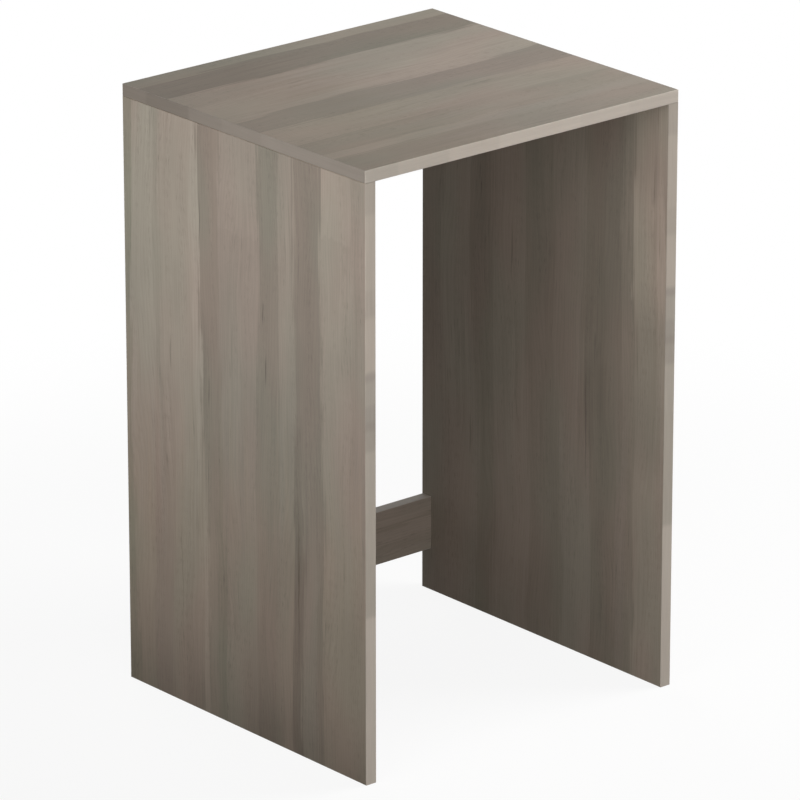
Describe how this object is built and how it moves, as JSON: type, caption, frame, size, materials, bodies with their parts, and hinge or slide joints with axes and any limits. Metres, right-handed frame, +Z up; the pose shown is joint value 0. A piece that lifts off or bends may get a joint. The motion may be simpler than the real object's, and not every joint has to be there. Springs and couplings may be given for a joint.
{
  "type": "washing machine cabinet",
  "caption": "Open-front cabinet that stands over a washing machine: an oak-look top on two sides, braced behind by two rails and held by cam locks and dowels.",
  "frame": {"origin": "on the floor, in the middle of the footprint", "axes": "+Z up, +X to the right as seen from the front, +Y to the rear; the open front faces -Y"},
  "size_m": [0.69, 0.635, 1.08],
  "materials": {
    "oak_decor": "grey-brown oak melamine on chipboard",
    "oak_edging": "matching plastic edging, a little lighter",
    "cast_zinc": "die-cast zinc",
    "plated_steel": "zinc plated",
    "beech": "plain beech",
    "cap_plastic": "moulded in the board's colour"
  },
  "bodies": {
    "carcass": {"top_panel": "oak_decor", "left_side_panel": "oak_decor", "right_side_panel": "oak_decor", "upper_rail": "oak_decor", "lower_rail": "oak_decor", "top_front_edging": "oak_edging", "top_rear_edging": "oak_edging", "top_left_edging": "oak_edging", "top_right_edging": "oak_edging", "left_side_front_edging": "oak_edging", "left_side_rear_edging": "oak_edging", "left_side_foot_edging": "oak_edging", "right_side_front_edging": "oak_edging", "right_side_rear_edging": "oak_edging", "right_side_foot_edging": "oak_edging", "upper_rail_foot_edging": "oak_edging", "lower_rail_foot_edging": "oak_edging", "lower_rail_head_edging": "oak_edging", "left_front_cam_bolt": "plated_steel", "left_rear_cam_bolt": "plated_steel", "right_front_cam_bolt": "plated_steel", "right_rear_cam_bolt": "plated_steel", "upper_rail_left_cam_bolt": "plated_steel", "upper_rail_right_cam_bolt": "plated_steel", "lower_rail_left_cam_bolt": "plated_steel", "lower_rail_right_cam_bolt": "plated_steel", "left_front_dowel": "beech", "left_middle_dowel": "beech", "left_rear_dowel": "beech", "right_front_dowel": "beech", "right_middle_dowel": "beech", "right_rear_dowel": "beech", "upper_rail_left_dowel": "beech", "upper_rail_right_dowel": "beech", "lower_rail_left_dowel": "beech", "lower_rail_right_dowel": "beech"},
    "left_front_cam": {"left_front_cam_lock": "cast_zinc", "left_front_cover_cap": "cap_plastic"},
    "left_rear_cam": {"left_rear_cam_lock": "cast_zinc", "left_rear_cover_cap": "cap_plastic"},
    "right_front_cam": {"right_front_cam_lock": "cast_zinc", "right_front_cover_cap": "cap_plastic"},
    "right_rear_cam": {"right_rear_cam_lock": "cast_zinc", "right_rear_cover_cap": "cap_plastic"},
    "upper_rail_left_cam": {"upper_rail_left_cam_lock": "cast_zinc"},
    "upper_rail_right_cam": {"upper_rail_right_cam_lock": "cast_zinc"},
    "lower_rail_left_cam": {"lower_rail_left_cam_lock": "cast_zinc"},
    "lower_rail_right_cam": {"lower_rail_right_cam_lock": "cast_zinc"}
  },
  "joints": [
    {"name": "left_front_cam_turn", "type": "hinge", "parent": "carcass", "child": "left_front_cam", "pos_m": [-0.334, -0.2535, 1.0237], "axis": [1, 0, 0], "range_deg": [0, 180]},
    {"name": "left_rear_cam_turn", "type": "hinge", "parent": "carcass", "child": "left_rear_cam", "pos_m": [-0.334, 0.2535, 1.0237], "axis": [1, 0, 0], "range_deg": [0, 180]},
    {"name": "right_front_cam_turn", "type": "hinge", "parent": "carcass", "child": "right_front_cam", "pos_m": [0.334, -0.2535, 1.0237], "axis": [-1, 0, 0], "range_deg": [0, 180]},
    {"name": "right_rear_cam_turn", "type": "hinge", "parent": "carcass", "child": "right_rear_cam", "pos_m": [0.334, 0.2535, 1.0237], "axis": [-1, 0, 0], "range_deg": [0, 180]},
    {"name": "upper_rail_left_cam_turn", "type": "hinge", "parent": "carcass", "child": "upper_rail_left_cam", "pos_m": [-0.2887, 0.3035, 0.9817], "axis": [0, 1, 0], "range_deg": [0, 180]},
    {"name": "upper_rail_right_cam_turn", "type": "hinge", "parent": "carcass", "child": "upper_rail_right_cam", "pos_m": [0.2887, 0.3035, 0.9817], "axis": [0, 1, 0], "range_deg": [0, 180]},
    {"name": "lower_rail_left_cam_turn", "type": "hinge", "parent": "carcass", "child": "lower_rail_left_cam", "pos_m": [-0.2887, 0.3035, 0.114], "axis": [0, 1, 0], "range_deg": [0, 180]},
    {"name": "lower_rail_right_cam_turn", "type": "hinge", "parent": "carcass", "child": "lower_rail_right_cam", "pos_m": [0.2887, 0.3035, 0.114], "axis": [0, 1, 0], "range_deg": [0, 180]}
  ]
}
